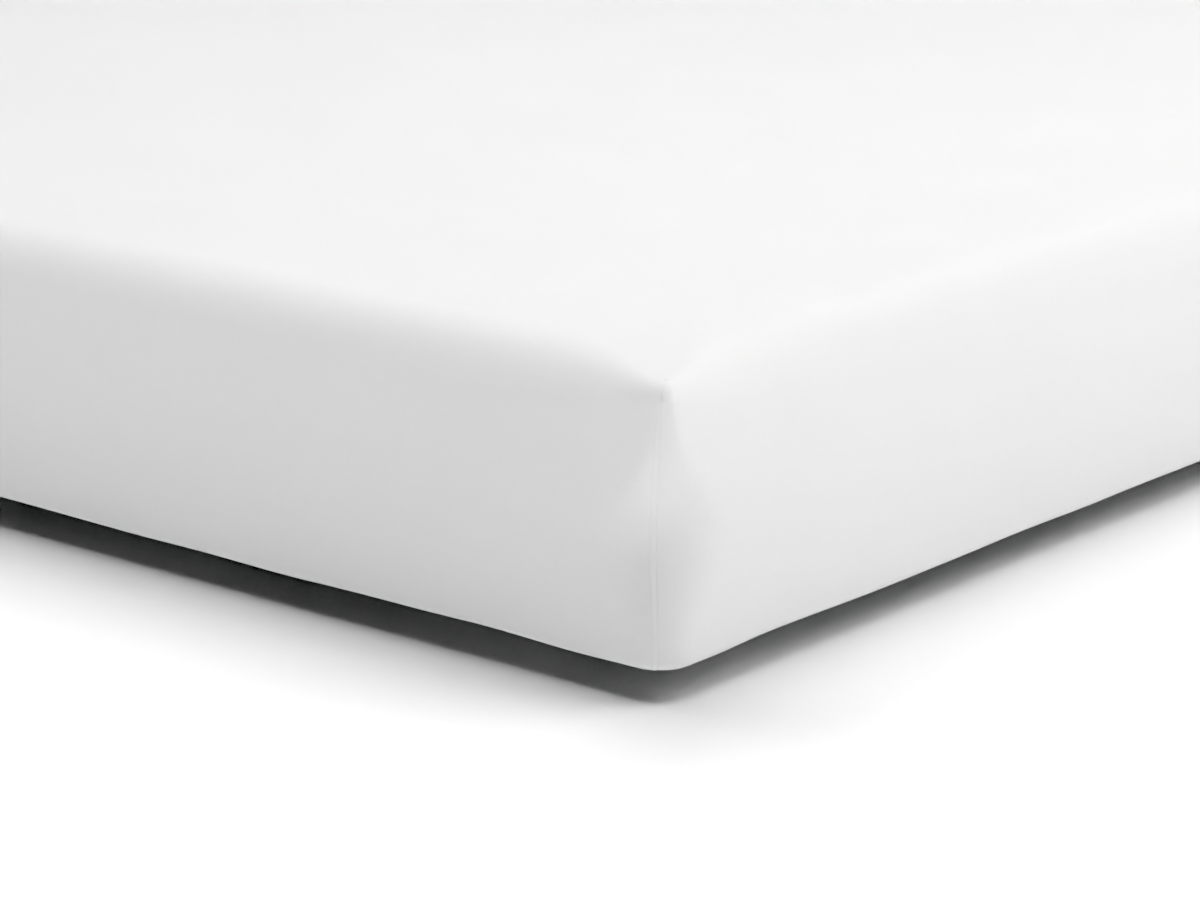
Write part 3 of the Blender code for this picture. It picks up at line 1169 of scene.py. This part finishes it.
class BEDDING_OT_stage(bpy.types.Operator):
    """Build the floor, the lights and the camera"""

    bl_idname = "bedding.stage"
    bl_label = "Studio"

    def execute(self, context):
        scene = context.scene
        chosen = scene.bedding_studio
        bpy.ops.mesh.primitive_plane_add(size=FLOOR_SIZE)
        floor = context.object
        floor.name = "studio_floor"
        floor.data.materials.append(studio_floor((*chosen.floor_color, 1.0)))

        corner = Vector((HALF_WIDTH, -HALF_LENGTH, FOOT_LIFT))
        camera = bpy.data.objects.new("camera", bpy.data.cameras.new("camera"))
        camera.data.lens = CAMERA_LENS
        camera.data.sensor_width = 36.0
        back = toward(CAMERA_TURN, CAMERA_HEIGHT_ANGLE)
        face_back(camera, corner + Vector(CAMERA_AIM) + back * CAMERA_DISTANCE, back)
        scene.camera = camera

        scene.world = studio_world(chosen.horizon)
        for lamp in LAMPS:
            light = bpy.data.lights.new(lamp.name, "AREA")
            light.shape = "DISK"
            light.size = lamp.width
            light.energy = lamp.power * chosen.brightness
            softbox = bpy.data.objects.new(lamp.name, light)
            softbox.visible_camera = False
            out = toward(lamp.turn, lamp.height)
            face_back(softbox, corner + out * lamp.distance, out)

        view = scene.view_settings
        view.view_transform = "Standard"
        view.use_curve_mapping = True
        view.curve_mapping.black_level = (BLACK_POINT,) * 3
        view.curve_mapping.update()
        return {"FINISHED"}


class BEDDING_PT_sidebar(bpy.types.Panel):
    """The sheet's pieces and what can be changed about them"""

    bl_idname = "BEDDING_PT_sidebar"
    bl_label = "Fitted sheet"
    bl_space_type = "VIEW_3D"
    bl_region_type = "UI"
    bl_category = "Bedding"

    def draw(self, context):
        scene = context.scene
        for chosen, operators in (
            (scene.bedding_sheet, ("cloth", "casing")),
            (scene.bedding_stitching, ("stitching",)),
            (scene.bedding_mattress, ("mattress",)),
            (scene.bedding_studio, ("stage",)),
        ):
            box = self.layout.box()
            for name in type(chosen).__annotations__:
                box.prop(chosen, name)
            for operator in operators:
                box.operator("bedding." + operator)


CLASSES = (
    BEDDING_PG_sheet,
    BEDDING_PG_stitching,
    BEDDING_PG_mattress,
    BEDDING_PG_studio,
    BEDDING_OT_cloth,
    BEDDING_OT_casing,
    BEDDING_OT_stitching,
    BEDDING_OT_mattress,
    BEDDING_OT_stage,
    BEDDING_PT_sidebar,
)
SETTINGS = {
    "bedding_sheet": BEDDING_PG_sheet,
    "bedding_stitching": BEDDING_PG_stitching,
    "bedding_mattress": BEDDING_PG_mattress,
    "bedding_studio": BEDDING_PG_studio,
}


def register():
    for made in CLASSES:
        bpy.utils.register_class(made)
    for name, group in SETTINGS.items():
        setattr(bpy.types.Scene, name, bpy.props.PointerProperty(type=group))


def unregister():
    for name in SETTINGS:
        delattr(bpy.types.Scene, name)
    for made in reversed(CLASSES):
        bpy.utils.unregister_class(made)


def main():
    register()
    bpy.ops.bedding.cloth()
    bpy.ops.bedding.casing()
    bpy.ops.bedding.stitching()
    bpy.ops.bedding.mattress()
    bpy.ops.bedding.stage()


if __name__ == "__main__":
    main()
